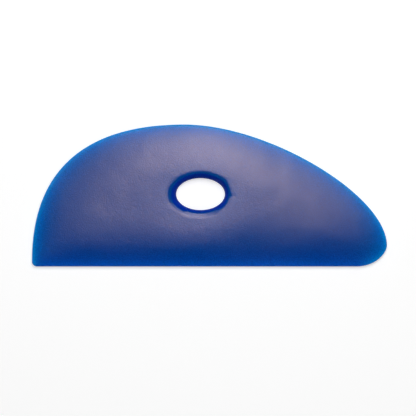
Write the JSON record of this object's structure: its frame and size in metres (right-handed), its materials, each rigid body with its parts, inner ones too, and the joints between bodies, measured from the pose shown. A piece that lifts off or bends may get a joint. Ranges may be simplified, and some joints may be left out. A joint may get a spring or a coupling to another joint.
{
  "type": "pottery rib",
  "caption": "Flexible half-moon pottery rib of blue polymer with a straight edge, a swept back, a rounded nose and a flared oval finger hole.",
  "frame": {"origin": "on the flat back, at the middle of the blade's length and height", "axes": "+X along the straight edge towards the nose, +Y from the straight edge towards the crown, +Z from the flat back towards the crowned face"},
  "size_m": [0.127, 0.0508, 0.0048],
  "materials": {
    "polyurethane": "satin"
  },
  "bodies": {
    "root": {"rib": "polyurethane"}
  },
  "joints": []
}
